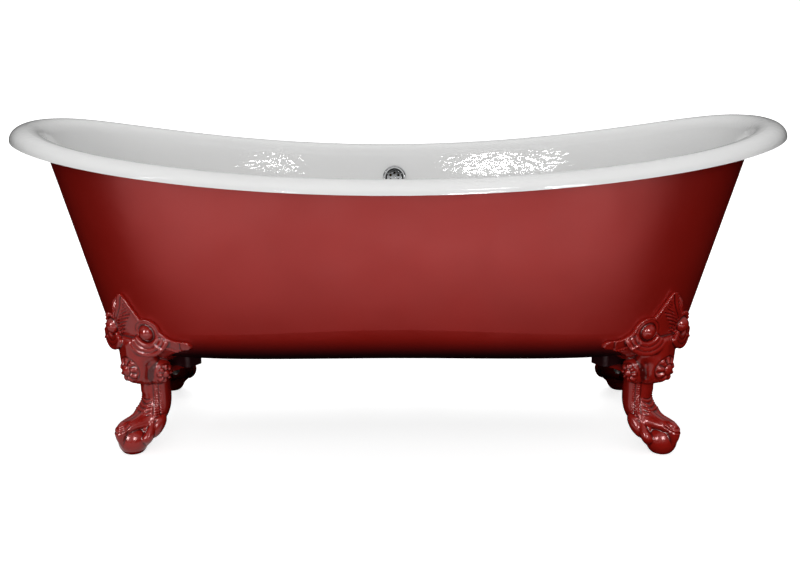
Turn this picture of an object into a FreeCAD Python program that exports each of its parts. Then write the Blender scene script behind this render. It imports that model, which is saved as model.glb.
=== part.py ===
# Double slipper roll-top bath: an enamelled iron tub on four ball-and-claw feet, with overflow and waste.
import FreeCAD, Part
import math
import os
from FreeCAD import Vector

# Tub, in millimetres: X runs along the bath, the front is -Y, the floor of the room is Z = 0.
rim_length = 1830.0
rim_width = 800.0
rim_mid_height = 670.0
slipper_rise = 99.0
end_rake = 212.0
side_rake = 126.0
underside_height = 222.0
floor_corner_radius = 110.0
iron_wall = 6.5
enamel = 1.5
side_straightness = 0.11
end_fullness = 0.028

# Rolled rim: it leaves the wall, turns over a crest and comes down to a lip outside.
rim_overhang = 73.0
lip_drop = 30.0
crest_inset_side = 33.0
crest_inset_end = 42.0

# Foot: its middle plane is turned from the bath's long axis by the bearing. The leg stands in under
# the tub and the claw reaches out again to the ball.
foot_bearing = 54.0
foot_clearance = 0.4
leg_radius = 36.0
leg_setback = 50.0
volute_radius = 33.0
volute_offset = 33.0
volute_setback = 30.0
volute_drop = 28.0
ball_radius = 36.0
ball_reach = 30.0
ball_flat_radius = 22.0
toe_radius = 12.0
toe_spread = 108.0
talon_tip_radius = 2.5

# Shield of the foot: a leaf between two round bosses and two wings, cast to the shape of the tub.
shield_thickness = 10.0
shield_rise = 170.0
leaf_tip_radius = 10.0
boss_radius = 19.0
boss_offset = 56.0
boss_rise = 80.0
boss_lobe_radius = 33.0
wing_reach = 150.0
wing_rise = 52.0
wing_tip_radius = 11.0
wing_droop = 9.0
ridge_count = 3
ridge_pitch = 11.0
ridge_radius = 6.4
ridge_start = 212.0
ridge_end = 338.0
ridge_splay = 0.35
ridge_tilt = 0.1

# Foot fastening: a cast lug under the tub, a tongue on the foot, a stud, a washer and a nut.
lug_width = 150.0
lug_depth = 52.0
lug_height = 30.0
lug_setback = 112.0
lug_corner = 12.0
lug_gap = 10.0
tongue_root_width = 60.0
tongue_end_width = 50.0
tongue_thickness = 18.0
stud_radius = 6.0
stud_engagement = 24.0
stud_clearance = 0.5
stud_tail = 5.0
washer_radius = 14.0
washer_thickness = 3.0
nut_across_flats = 19.0
nut_thickness = 10.0

# Overflow on the far side, half way along the bath.
overflow_drop = 87.0
overflow_hole_radius = 20.0
rose_radius = 32.0
rose_thickness = 4.0
rose_edge_radius = 2.4
rose_opening_radius = 24.0
rose_hub_radius = 7.5
rose_spokes = 6
rose_spoke_width = 4.0
rose_spoke_depth = 2.4
rose_tail_radius = 18.0
rose_tail_length = 14.0
rose_seat_width = 2.0
rose_seat_thickness = 1.0
seal_radius = 29.0
inner_seal_thickness = 1.5
outer_seal_thickness = 4.0
elbow_flange_thickness = 5.0
elbow_radius = 23.0
spout_gap = 3.0
spout_length = 46.0
pipe_radius = 16.0
tube_wall = 2.0
socket_wall = 3.0
pipe_bend_radius = 60.0
pipe_insertion = 18.0
pipe_nut_radius = 25.0
pipe_nut_length = 22.0
pipe_nut_grip = 13.0
pipe_nut_edge = 2.0
screw_head_radius = 5.0
screw_head_height = 2.5
screw_head_edge = 1.7
screw_radius = 2.5

# Waste in the floor, on the overflow side of the middle.
waste_offset = 100.0
waste_hole_radius = 25.0
flange_radius = 35.0
flange_thickness = 3.0
flange_edge_radius = 1.8
flange_seal_thickness = 1.5
seal_setback = 2.0
waste_tail_radius = 23.0
waste_tail_length = 40.0
waste_wall = 3.0
under_seal_thickness = 4.0
tee_flange_radius = 36.0
tee_flange_thickness = 6.0
tee_radius = 27.0
tee_body_length = 50.0
tee_step = 6.0
outlet_radius = 23.9
outlet_length = 26.0
outlet_bore_radius = 20.0
inlet_drop = 30.0
inlet_reach = 60.0
spider_arms = 3
spider_thickness = 8.0
spider_drop = 10.0
spider_arm_width = 4.0
hub_radius = 10.0
cartridge_radius = 7.0
cartridge_length = 30.0
cartridge_head_radius = 9.0
cartridge_head_height = 2.0
stem_radius = 4.0
stem_clearance = 0.05
plug_lift = 10.0
plug_stop_gap = 0.3
stem_collar_radius = 6.5
stem_collar_length = 4.0
plug_radius = 29.0
plug_thickness = 4.0
plug_dome = 3.0
plug_seal_radius = 27.0
plug_seal_bore = 12.0
plug_seal_thickness = 3.0

# Sizes that follow from the ones above.
floor_length = rim_length - 2 * end_rake
floor_width = rim_width - 2 * side_rake
floor_inside = underside_height + iron_wall + enamel
lug_bottom = underside_height - lug_height
overflow_height = rim_mid_height - overflow_drop
shield_top = underside_height + shield_rise
boss_height = underside_height + boss_rise
wing_height = underside_height + wing_rise
knuckle_height = 2 * ball_radius

# How finely the tub's rings are drawn, and the half turn of the section's rounded corners.
RING_STATIONS = 40
RING_SOLVER_ROUNDS = 60
CORNER_HALF_TURN = 39.0

UP = Vector(0, 0, 1)
ACROSS = Vector(0, 1, 0)
OUT = Vector(1, 0, 0)
ORIGIN = Vector(0, 0, 0)


def oval(length, width, turn):
    """Plan point of the bath's full-ended oval at an angle, with its outward normal."""
    x = length / 2 * (math.cos(turn) - end_fullness * math.cos(3 * turn)) / (1 - end_fullness)
    y = width / 2 * (math.sin(turn) + side_straightness * math.sin(3 * turn)) / (1 - side_straightness)
    run = length / 2 * (math.sin(turn) - 3 * end_fullness * math.sin(3 * turn)) / (1 - end_fullness)
    rise = width / 2 * (math.cos(turn) + 3 * side_straightness * math.cos(3 * turn)) / (1 - side_straightness)
    return Vector(x, y, 0), Vector(rise, run, 0).normalize()


def section(turn, depth):
    """Control points of the tub's section at one station, for a skin this deep in the wall."""
    lip, out = oval(rim_length, rim_width, turn)
    foot, floor_out = oval(floor_length, floor_width, turn)
    crest_z = rim_mid_height + slipper_rise * (2 * lip.x / rim_length) ** 2
    crest_inset = crest_inset_side + (crest_inset_end - crest_inset_side) * out.x ** 2
    cover = iron_wall + enamel - depth
    head = lip - out * rim_overhang + UP * (crest_z - lip_drop)
    foot = foot + UP * underside_height
    slope = (head - foot).normalize()
    inward = depth / slope.z
    head = head - out * inward
    corner = foot + slope * (depth / slope.z) - floor_out * inward
    half_turn = (math.pi / 2 - math.acos(slope.z)) / 2
    arm = (floor_corner_radius - depth) * math.tan(half_turn)
    top_z = crest_z - cover
    return {
        "floor_edge": corner - floor_out * arm,
        "floor_corner": corner,
        "wall_foot": corner + slope * arm,
        "wall_head": head,
        "shoulder": head + slope * ((top_z - head.z) / slope.z),
        "crest": lip - out * crest_inset + UP * top_z,
        "brow": lip - out * cover + UP * top_z,
        "lip": lip - out * cover + UP * (crest_z - lip_drop),
    }


def sections(depth):
    return [section(2 * math.pi * i / RING_STATIONS, depth) for i in range(RING_STATIONS)]


def ring_poles(points):
    """Poles of the closed cubic curve through a ring of points."""
    count = len(points)
    poles = list(points)
    for _ in range(RING_SOLVER_ROUNDS):
        poles = [(points[i] * 6 - poles[i - 1] - poles[(i + 1) % count]) / 4 for i in range(count)]
    return poles


def ring_face(poles):
    """Flat face inside a level ring."""
    curve = Part.BSplineCurve()
    count = len(poles)
    curve.buildFromPolesMultsKnots(poles, [1] * (count + 1), list(range(count + 1)), True, 3)
    return Part.Face(Part.Wire([curve.toShape()]))


def band(lower, upper, corner=None):
    """Face between two rings: straight, or rounded off against a ring of corner points."""
    rows = [lower, upper]
    weights = [1.0, 1.0]
    if corner is not None:
        rows.insert(1, corner)
        weights.insert(1, math.cos(math.radians(CORNER_HALF_TURN)))
    degree = len(rows) - 1
    count = len(lower)
    poles = [[row[i] for row in rows] for i in range(count)]
    surface = Part.BSplineSurface()
    surface.buildFromPolesMultsKnots(
        poles, [1] * (count + 1), [degree + 1] * 2, list(range(count + 1)), [0.0, 1.0],
        True, False, 3, degree, [weights] * count)
    return surface.toShape()


def solid_from(faces):
    shell = Part.makeShell(faces)
    shell.sewShape()
    solid = Part.makeSolid(shell.Shells[0])
    if solid.Volume < 0:
        solid.reverse()
    return solid


def tub_layer(outer_depth, inner_depth):
    """Solid between two skins of the tub, closed along the lip."""
    faces = []
    lips = []
    for depth in (outer_depth, inner_depth):
        around = sections(depth)
        rings = {name: ring_poles([s[name] for s in around]) for name in around[0]}
        faces.append(ring_face(rings["floor_edge"]))
        faces.append(band(rings["floor_edge"], rings["wall_foot"], rings["floor_corner"]))
        faces.append(band(rings["wall_foot"], rings["wall_head"]))
        faces.append(band(rings["wall_head"], rings["crest"], rings["shoulder"]))
        faces.append(band(rings["crest"], rings["lip"], rings["brow"]))
        lips.append(rings["lip"])
    return solid_from(faces + [band(*lips)])


def tub_block(grown, top_z):
    """The lower tub as a full block up to a level, grown all round, to trim what fits against it."""
    around = sections(-grown)
    for s in around:
        slope = s["wall_head"] - s["wall_foot"]
        s["top"] = s["wall_foot"] + slope * ((top_z - s["wall_foot"].z) / slope.z)
    rings = {name: ring_poles([s[name] for s in around]) for name in around[0]}
    return solid_from([
        ring_face(rings["floor_edge"]),
        band(rings["floor_edge"], rings["wall_foot"], rings["floor_corner"]),
        band(rings["wall_foot"], rings["top"]),
        ring_face(rings["top"]),
    ])


def rod(radius, base, axis, length):
    return Part.makeCylinder(radius, length, base, axis)


def tube(outer, inner, base, axis, length):
    return rod(outer, base, axis, length).cut(rod(inner, base, axis, length))


def rounded_rod(radius, base, axis, length, edge):
    """Rod whose edge at the base is rounded."""
    plain = rod(radius, base, axis, length)
    rim = [e for e in plain.Edges if e.Closed and (e.CenterOfMass - base).Length < edge / 2]
    return plain.makeFillet(edge, rim)


def hexagon(across_flats, base, height):
    radius = across_flats / math.sqrt(3)
    corners = [base + FreeCAD.Rotation(UP, 60 * i).multVec(OUT * radius) for i in range(7)]
    return Part.Face(Part.makePolygon(corners)).extrude(UP * height)


def foot_place():
    """Where the front left foot stands: the corner of the tub's floor that faces its bearing."""
    low = 0.0
    high = math.pi / 2
    while high - low > 1e-9:
        turn = (low + high) / 2
        normal = oval(floor_length, floor_width, turn)[1]
        if math.degrees(math.atan2(normal.y, normal.x)) < foot_bearing:
            low = turn
        else:
            high = turn
    point = oval(floor_length, floor_width, turn)[0]
    return FreeCAD.Placement(point * -1, FreeCAD.Rotation(UP, 180 + foot_bearing))


# The foot is drawn in its own frame: OUT points away from the bath's corner, ACROSS along its side.
def ring(out, height, lean, half_depth, half_width, heading=0.0, centre=ORIGIN):
    """Oval section of a limb: it lies level at lean 0 and stands upright at lean 90."""
    turned = FreeCAD.Rotation(UP, heading)
    away = turned.multVec(OUT)
    side = turned.multVec(ACROSS)
    along = away * math.cos(math.radians(lean)) + UP * math.sin(math.radians(lean))
    middle = centre + away * out + UP * height
    points = []
    for i in range(8):
        turn = math.radians(45 * i)
        points.append(middle + along * (half_depth * math.cos(turn)) + side * (half_width * math.sin(turn)))
    curve = Part.BSplineCurve()
    curve.interpolate(points, True)
    return Part.Wire([curve.toShape()])


def knee():
    """Knee: a full rounded lobe that hangs out over the leg."""
    r = leg_radius
    return Part.makeLoft([
        ring(0.2 * r, underside_height + 1.7 * r, 0, 0.7 * r, 1.2 * r),
        ring(0.05 * r, underside_height + 0.8 * r, 0, r, 1.4 * r),
        ring(-0.15 * r, underside_height - 0.2 * r, 0, 1.2 * r, 1.35 * r),
        ring(-0.2 * r, underside_height - 0.9 * r, 0, 1.15 * r, 1.2 * r),
        ring(-0.4 * r, underside_height - 1.45 * r, 0, 0.9 * r, 0.95 * r),
        ring(-0.6 * r, underside_height - 1.7 * r, 0, 0.45 * r, 0.5 * r),
    ], True)


def leg():
    """Leg and heel: one stem that comes down under the tub and bends out again to the claw."""
    r = leg_radius
    ankle = knuckle_height + r
    return Part.makeLoft([
        ring(0.3 * r - leg_setback, underside_height - 0.8 * r, 0, r, 1.05 * r),
        ring(0.1 * r - leg_setback, underside_height - 1.7 * r, 0, r, r),
        ring(-leg_setback, ankle + 0.6 * r, 5, r, 0.95 * r),
        ring(0.1 * r - leg_setback, ankle - 0.2 * r, 25, r, r),
        ring(0.6 * r - leg_setback, ankle - 0.8 * r, 48, 0.95 * r, 1.05 * r),
        ring(1.2 * r - leg_setback, ankle - 1.1 * r, 68, 0.75 * r, r),
    ], True)


def instep():
    """Broad back of the claw, from the leg out to the knuckles over the ball."""
    r = leg_radius
    top = knuckle_height
    return Part.makeLoft([
        ring(0.5 * r - leg_setback, top + 0.7 * r, 40, 0.7 * r, 0.85 * r),
        ring(1.1 * r - leg_setback, top + 0.15 * r, 62, 0.6 * r, 0.9 * r),
        ring(ball_reach - 0.3 * ball_radius, top - 0.05 * r, 78, 0.45 * r, 0.8 * r),
        ring(ball_reach + 0.5 * ball_radius, top - 0.1 * r, 84, 0.35 * r, 0.55 * r),
        ring(ball_reach + 0.9 * ball_radius, top - 0.25 * r, 60, 0.25 * r, 0.35 * r),
    ], True)


def middle_toe():
    """Middle toe: it runs on from the instep over its knuckle, with a short talon on the ball."""
    r = ball_radius
    t = toe_radius
    tip = talon_tip_radius
    front = ball_reach + r
    return Part.makeLoft([
        ring(ball_reach, knuckle_height - 0.2 * t, 86, t, 1.4 * t),
        ring(front - 0.7 * t, knuckle_height - 0.2 * t, 70, t, 1.3 * t),
        ring(front, knuckle_height - 1.0 * t, 36, 1.1 * t, 1.2 * t),
        ring(front + 0.2 * t, 1.15 * r, 4, 0.7 * t, 0.8 * t),
        ring(front + 0.05 * t, 0.85 * r, -4, 0.4 * t, 0.45 * t),
        ring(front - tip, 0.6 * r, -8, tip, tip),
    ], True)


def side_toe(hand):
    """Side toe: from the heel over the flank of the ball, with a short talon down its side."""
    r = ball_radius
    t = toe_radius
    tip = talon_tip_radius
    heading = hand * toe_spread
    heel = OUT * (0.3 * leg_radius - leg_setback)
    root = OUT * (ball_reach - r)
    flank = OUT * (ball_reach - 0.3 * r)
    heart = OUT * ball_reach
    return Part.makeLoft([
        ring(0.5 * leg_radius, knuckle_height + 0.5 * t, 55, 1.5 * t, 1.8 * t, heading, heel),
        ring(0.7 * r, knuckle_height - 0.6 * t, 48, 1.5 * t, 1.8 * t, heading, root),
        ring(0.95 * r, 1.35 * r, 28, 1.4 * t, 1.6 * t, heading, flank),
        ring(r + 0.2 * t, 0.95 * r, 4, 1.1 * t, 1.2 * t, heading, heart),
        ring(r + 0.15 * t, 0.7 * r, -6, 0.5 * t, 0.6 * t, heading, heart),
        ring(r - 0.3 * t, 0.45 * r, -14, tip, tip, heading, heart),
    ], True)


def volute(hand):
    """Round scroll lobe behind the knee, on one side of the leg's head."""
    return Part.makeSphere(volute_radius, Vector(-volute_setback, hand * volute_offset,
                                                 underside_height - volute_drop))


def shield_outline():
    """Outline of the shield: leaf tip, round shoulders over the bosses and drooping wings."""
    heart = Vector(0, boss_offset, boss_height)
    lobe = [heart + FreeCAD.Rotation(OUT, turn).multVec(ACROSS * boss_lobe_radius) for turn in (112, 60, 8)]
    tip = UP * (shield_top - leaf_tip_radius)
    crown = [tip + FreeCAD.Rotation(OUT, turn).multVec(ACROSS * leaf_tip_radius) for turn in (90, 60, 30)]
    heel = Vector(0, wing_reach - wing_tip_radius, wing_height)
    end = [heel + FreeCAD.Rotation(OUT, turn).multVec(ACROSS * wing_tip_radius) for turn in (75, 0, -100)]
    hollow = (lobe[2] + end[0]) / 2 - UP * wing_droop
    base = Vector(0, leg_radius, underside_height - leg_radius / 2)
    belly = (end[2] + base) / 2 + UP * wing_droop
    right = [
        Part.Arc(*crown).toShape(), Part.makeLine(crown[2], lobe[0]), Part.Arc(*lobe).toShape(),
        Part.Arc(lobe[2], hollow, end[0]).toShape(), Part.Arc(*end).toShape(),
        Part.Arc(end[2], belly, base).toShape(),
    ]
    left = [edge.mirror(ORIGIN, ACROSS) for edge in right]
    floor = Part.makeLine(base, base - ACROSS * 2 * base.y)
    return Part.Wire(Part.__sortEdges__(right + left + [floor]))


def wall_reach(tub, place, across, height):
    """How far out the tub's wall is, in the foot's frame, at a place on the shield."""
    line = Part.makeLine(Vector(-lug_setback, across, height), Vector(rim_width, across, height))
    line.Placement = place
    return line.common(tub).Length - lug_setback


def ridge(seat, axis, radius, hand):
    """Crescent ridge under a boss: a round bead along an arc, with rounded ends."""
    up = (UP - axis * UP.dot(axis)).normalize()
    side = up.cross(axis) * hand
    points = []
    for turn in (ridge_start, (ridge_start + ridge_end) / 2, ridge_end):
        turn = math.radians(turn)
        points.append(seat + side * (radius * math.cos(turn)) + up * (radius * math.sin(turn)))
    path = Part.Wire([Part.Arc(*points).toShape()])
    start = path.Edges[0]
    profile = Part.Wire([Part.makeCircle(ridge_radius, points[0], start.tangentAt(start.FirstParameter))])
    bead = path.makePipeShell([profile], True, False)
    return bead.fuse([Part.makeSphere(ridge_radius, points[0]), Part.makeSphere(ridge_radius, points[2])])


def boss(hand, reach):
    """Round boss on the shield, with the crescent ridges that fan out under it."""
    seat = Vector(reach + shield_thickness * 0.7, hand * boss_offset, boss_height)
    axis = Vector(1, ridge_splay * hand, ridge_tilt).normalize()
    radii = [boss_radius + ridge_pitch * (i + 1) for i in range(ridge_count)]
    return [Part.makeSphere(boss_radius, seat)] + [ridge(seat, axis, radius, hand) for radius in radii]


def tongue():
    """Flat arm that reaches from the leg in under the tub's lug."""
    reach = lug_setback + lug_depth / 2
    root = tongue_root_width / 2
    end = tongue_end_width / 2
    corners = [Vector(-leg_setback, -root, lug_bottom), Vector(-reach, -end, lug_bottom),
               Vector(-reach, end, lug_bottom), Vector(-leg_setback, root, lug_bottom)]
    return Part.Face(Part.makePolygon(corners + corners[:1])).extrude(UP * -tongue_thickness)


def fitted_foot(place):
    """Front left foot, trimmed to the tub and drilled for its stud."""
    tub = tub_block(foot_clearance, shield_top + 2 * boss_radius)
    skin = tub_block(foot_clearance + shield_thickness, shield_top + boss_radius)
    ball_z = math.sqrt(ball_radius ** 2 - ball_flat_radius ** 2)
    pieces = [knee(), leg(), instep(), tongue()]
    pieces.append(Part.makeSphere(ball_radius, OUT * ball_reach + UP * ball_z))
    pieces.append(middle_toe())
    for hand in (-1, 1):
        pieces.append(side_toe(hand))
        pieces.append(volute(hand))
        pieces += boss(hand, wall_reach(tub, place, hand * boss_offset, boss_height))
    shield = Part.Face(shield_outline()).extrude(OUT * rim_width)
    shield.translate(OUT * (lug_depth / 2 + lug_gap - lug_setback))
    ground_at = Vector(-rim_width / 2, -rim_width / 2, -ball_radius)
    ground = Part.makeBox(rim_width, rim_width, ball_radius, ground_at)
    hole_at = UP * (lug_bottom - tongue_thickness) - OUT * lug_setback
    hole = rod(stud_radius + stud_clearance, hole_at, UP, tongue_thickness)
    for piece in pieces + [shield, ground, hole]:
        piece.Placement = place.multiply(piece.Placement)
    foot = shield.common(skin)
    for piece in pieces:
        foot = foot.fuse(piece)
    return foot.cut(tub).cut(ground).cut(hole)


def four(shape):
    """A piece and its mirror images at the other three corners."""
    right = shape.mirror(ORIGIN, OUT)
    return [shape, right, shape.mirror(ORIGIN, ACROSS), right.mirror(ORIGIN, ACROSS)]


def foot_fasteners(place):
    """Stud, washer and nut of each foot."""
    tongue_bottom = lug_bottom - tongue_thickness
    washer_bottom = tongue_bottom - washer_thickness
    nut_bottom = washer_bottom - nut_thickness
    stud_bottom = nut_bottom - stud_tail
    axis_at = OUT * -lug_setback
    stud = rod(stud_radius, axis_at + UP * stud_bottom, UP, lug_bottom + stud_engagement - stud_bottom)
    washer_bore = stud_radius + stud_clearance
    washer = tube(washer_radius, washer_bore, axis_at + UP * washer_bottom, UP, washer_thickness)
    nut = hexagon(nut_across_flats, axis_at + UP * nut_bottom, nut_thickness)
    nut = nut.cut(rod(stud_radius, axis_at + UP * nut_bottom, UP, nut_thickness))
    for piece in (stud, washer, nut):
        piece.Placement = place.multiply(piece.Placement)
    return {
        "foot_studs": Part.makeCompound(four(stud)),
        "foot_washers": Part.makeCompound(four(washer)),
        "foot_nuts": Part.makeCompound(four(nut)),
    }


def lugs(place):
    """Cast lugs under the tub's floor, each with a blind stud hole."""
    corner = Vector(-lug_setback - lug_depth / 2, -lug_width / 2, lug_bottom)
    lug = Part.makeBox(lug_depth, lug_width, lug_height + iron_wall / 2, corner)
    upright = [e for e in lug.Edges if e.BoundBox.ZLength > lug_height]
    lug = lug.makeFillet(lug_corner, upright)
    lug = lug.cut(rod(stud_radius, UP * lug_bottom - OUT * lug_setback, UP, stud_engagement))
    lug.Placement = place.multiply(lug.Placement)
    return four(lug)


def overflow_frame():
    """Where the overflow's axis leaves the far wall, its direction and the way down the wall."""
    profile = section(math.pi / 2, 0)
    slope = (profile["wall_head"] - profile["wall_foot"]).normalize()
    at = profile["wall_foot"] + slope * ((overflow_height - profile["wall_foot"].z) / slope.z)
    return at, Vector(0, slope.z, -slope.y), slope * -1


def overflow_rose():
    """Chrome rose inside the bath: a rounded ring, spokes to a hub, and a tail through the wall."""
    at, out, down = overflow_frame()
    back = at - out * (iron_wall + enamel + inner_seal_thickness)
    face = back - out * rose_thickness
    disc = rounded_rod(rose_radius, face, out, rose_thickness, rose_edge_radius)
    disc = disc.cut(rod(rose_opening_radius, face, out, rose_thickness))
    pieces = [rod(rose_hub_radius, face, out, rose_thickness)]
    for i in range(rose_spokes):
        spoke = Part.makeBox(rose_opening_radius + rose_seat_width, rose_spoke_width, rose_spoke_depth,
                             ACROSS * (-rose_spoke_width / 2))
        spoke.rotate(ORIGIN, UP, 360 / rose_spokes * (i + 0.5))
        spoke.Placement = FreeCAD.Placement(face, FreeCAD.Rotation(UP, out)).multiply(spoke.Placement)
        pieces.append(spoke)
    bore = rose_tail_radius - tube_wall
    tail_length = (at - back).Length + rose_tail_length
    pieces.append(tube(rose_tail_radius, bore, back, out, tail_length))
    pieces.append(tube(rose_opening_radius + rose_seat_width, bore, back - out * rose_seat_thickness, out,
                       rose_seat_thickness))
    thread = rod(screw_radius, face, out, rose_thickness)
    head_face = face - out * screw_head_height
    head = rounded_rod(screw_head_radius, head_face, out, screw_head_height, screw_head_edge)
    return disc.fuse(pieces).cut(thread), thread.fuse(head)


def overflow_parts(iron, glass):
    """Overflow fitting: rose and screw inside, seals on both sides of the wall, elbow behind."""
    at, out, down = overflow_frame()
    rose, screw = overflow_rose()
    through = iron_wall + enamel
    inner_back = at - out * (through + inner_seal_thickness)
    inner_seal = tube(seal_radius, rose_tail_radius, inner_back, out, through)
    inner_seal = min(inner_seal.cut([iron, glass]).Solids, key=lambda solid: solid.CenterOfMass.y)
    outer_back = at - out * iron_wall
    outer_seal = tube(seal_radius, rose_tail_radius, outer_back, out, iron_wall + outer_seal_thickness)
    outer_seal = max(outer_seal.cut([iron, glass]).Solids, key=lambda solid: solid.CenterOfMass.y)
    flange_at = at + out * outer_seal_thickness
    spout_radius = pipe_radius + socket_wall
    spout_set = elbow_flange_thickness + spout_gap + spout_radius
    spout_top = flange_at + out * spout_set
    elbow_length = spout_set + elbow_radius
    elbow = rod(elbow_radius, flange_at, out, elbow_length)
    elbow = elbow.fuse([rod(seal_radius, flange_at, out, elbow_flange_thickness),
                        rod(spout_radius, spout_top, down, spout_length)])
    elbow = elbow.cut([rod(rose_tail_radius, flange_at, out, elbow_length - socket_wall),
                       rod(pipe_radius, spout_top, down, spout_length)])
    return {
        "overflow_rose": rose,
        "overflow_screw": screw,
        "overflow_inner_seal": inner_seal,
        "overflow_outer_seal": outer_seal,
        "overflow_elbow": elbow,
    }, spout_top + down * spout_length


def pipe_solid(radius, start, down, end):
    """Overflow pipe: down beside the wall, one bend, and level to the waste."""
    corner = start + down * ((start.z - end.z) / -down.z)
    level = ACROSS * -1
    half_bend = math.acos(down.dot(level)) / 2
    trim = pipe_bend_radius * math.tan(half_bend)
    bend_in = corner - down * trim
    bend_out = corner + level * trim
    inward = (level - down).normalize()
    heart = corner + inward * (pipe_bend_radius / math.cos(half_bend))
    bend = Part.Arc(bend_in, heart - inward * pipe_bend_radius, bend_out).toShape()
    path = Part.Wire([Part.makeLine(start, bend_in), bend, Part.makeLine(bend_out, end)])
    profile = Part.Wire([Part.makeCircle(radius, start, down)])
    return path.makePipeShell([profile], True, False)


def pipe_nut(mouth, axis):
    """Ring nut that closes a socket's mouth round the pipe."""
    base = mouth - axis * pipe_nut_grip
    nut = rod(pipe_nut_radius, base, axis, pipe_nut_length)
    nut = nut.makeFillet(pipe_nut_edge, [e for e in nut.Edges if e.Closed])
    socket = rod(pipe_radius + socket_wall, base, axis, pipe_nut_grip)
    return nut.cut([socket, rod(pipe_radius, base, axis, pipe_nut_length)])


def waste_parts():
    """Waste fitting: flange with its spider, seals and the tee under the floor."""
    at = ACROSS * waste_offset
    seat = at + UP * (floor_inside + flange_seal_thickness)
    top = seat + UP * flange_thickness
    bore = waste_tail_radius - waste_wall
    tail_end = seat - UP * waste_tail_length
    flange = rounded_rod(flange_radius, top, UP * -1, flange_thickness, flange_edge_radius)
    flange = flange.fuse(rod(waste_tail_radius, tail_end, UP, waste_tail_length))
    flange = flange.cut(rod(bore, tail_end, UP, waste_tail_length + flange_thickness))
    spider = top - UP * (spider_drop + spider_thickness)
    arms = [rod(hub_radius, spider, UP, spider_thickness)]
    for i in range(spider_arms):
        arm = Part.makeBox(bore + waste_wall / 2, spider_arm_width, spider_thickness,
                           ACROSS * (-spider_arm_width / 2))
        arm.rotate(ORIGIN, UP, 360 / spider_arms * (i + 0.25))
        arm.translate(spider)
        arms.append(arm)
    flange = flange.fuse(arms).cut(rod(cartridge_radius, spider, UP, spider_thickness))
    flange_seal = tube(flange_radius - seal_setback, waste_tail_radius, at + UP * floor_inside, UP,
                       flange_seal_thickness)
    seal_z = underside_height - under_seal_thickness
    under_seal = tube(tee_flange_radius - seal_setback, waste_tail_radius, at + UP * seal_z, UP,
                      under_seal_thickness)
    body = at + UP * (seal_z - tee_body_length)
    inlet = at + UP * (seal_z - inlet_drop)
    outlet = body - UP * outlet_length
    tee = rod(tee_flange_radius, at + UP * (seal_z - tee_flange_thickness), UP, tee_flange_thickness)
    tee = tee.fuse([rod(tee_radius, body, UP, tee_body_length), rod(outlet_radius, outlet, UP, outlet_length),
                    rod(pipe_radius + socket_wall, inlet, ACROSS, inlet_reach)])
    water_way = rod(pipe_radius - tube_wall, inlet, ACROSS, inlet_reach)
    tee = tee.cut([rod(waste_tail_radius, body + UP * tee_step, UP, tee_body_length),
                   rod(outlet_bore_radius, outlet, UP, outlet_length + tee_body_length), water_way,
                   rod(pipe_radius, inlet + ACROSS * (inlet_reach - pipe_insertion), ACROSS, pipe_insertion)])
    return {
        "waste_flange": flange.cut(water_way),
        "waste_flange_seal": flange_seal,
        "waste_under_seal": under_seal,
        "waste_tee": tee,
    }, inlet + ACROSS * inlet_reach


def plug_parts():
    """Click plug: a sleeve in the waste's hub, and the cap, seal and stem that lift in it."""
    top = ACROSS * waste_offset + UP * (floor_inside + flange_seal_thickness + flange_thickness)
    hub = top - UP * spider_drop
    sleeve_end = hub - UP * cartridge_length
    sleeve = rod(cartridge_radius, sleeve_end, UP, cartridge_length)
    sleeve = sleeve.fuse(rod(cartridge_head_radius, hub, UP, cartridge_head_height))
    sleeve_height = cartridge_length + cartridge_head_height
    sleeve = sleeve.cut(rod(stem_radius + stem_clearance, sleeve_end, UP, sleeve_height))
    under = top + UP * plug_seal_thickness
    cap = rod(plug_radius, under, UP, plug_thickness)
    dome_radius = (plug_radius ** 2 + plug_dome ** 2) / (2 * plug_dome)
    dome = Part.makeSphere(dome_radius, under + UP * (plug_thickness + plug_dome - dome_radius))
    dome = dome.common(rod(plug_radius, under + UP * plug_thickness, UP, 2 * plug_dome))
    seal = tube(plug_seal_radius, plug_seal_bore, top, UP, plug_seal_thickness)
    collar = sleeve_end - UP * (plug_lift + plug_stop_gap + stem_collar_length)
    stem = rod(stem_radius, collar, UP, under.z - collar.z)
    stem = stem.fuse(rod(stem_collar_radius, collar, UP, stem_collar_length))
    return {
        "plug_cartridge": sleeve,
        "plug_cap": cap.fuse(dome).removeSplitter(),
        "plug_seal": seal,
        "plug_stem": stem,
    }


place = foot_place()
overflow_at, overflow_out, overflow_down = overflow_frame()
overflow_inside = overflow_at - overflow_out * rim_overhang
overflow_hole = rod(overflow_hole_radius, overflow_inside, overflow_out, 2 * rim_overhang)
waste_hole = rod(waste_hole_radius, ACROSS * waste_offset, UP, rim_mid_height)
iron = tub_layer(0, iron_wall)
glass = tub_layer(iron_wall, iron_wall + enamel)
casting = iron.fuse(lugs(place)).cut([overflow_hole, waste_hole])
lining = glass.cut([overflow_hole, waste_hole])

nodes = {"tub_casting": casting, "enamel_lining": lining}
foot_names = ("foot_front_left", "foot_front_right", "foot_rear_left", "foot_rear_right")
nodes.update(zip(foot_names, four(fitted_foot(place))))
nodes.update(foot_fasteners(place))
overflow, spout_mouth = overflow_parts(iron, glass)
waste, inlet_mouth = waste_parts()
nodes.update(overflow)
nodes.update(waste)
nodes.update(plug_parts())

pipe_start = spout_mouth - overflow_down * pipe_insertion
pipe_end = inlet_mouth - ACROSS * pipe_insertion
pipe = pipe_solid(pipe_radius, pipe_start, overflow_down, pipe_end)
nodes["overflow_pipe"] = pipe.cut(pipe_solid(pipe_radius - tube_wall, pipe_start, overflow_down, pipe_end))
pipe_nuts = [pipe_nut(spout_mouth, overflow_down), pipe_nut(inlet_mouth, ACROSS)]
nodes["overflow_pipe_nuts"] = Part.makeCompound(pipe_nuts)

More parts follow.
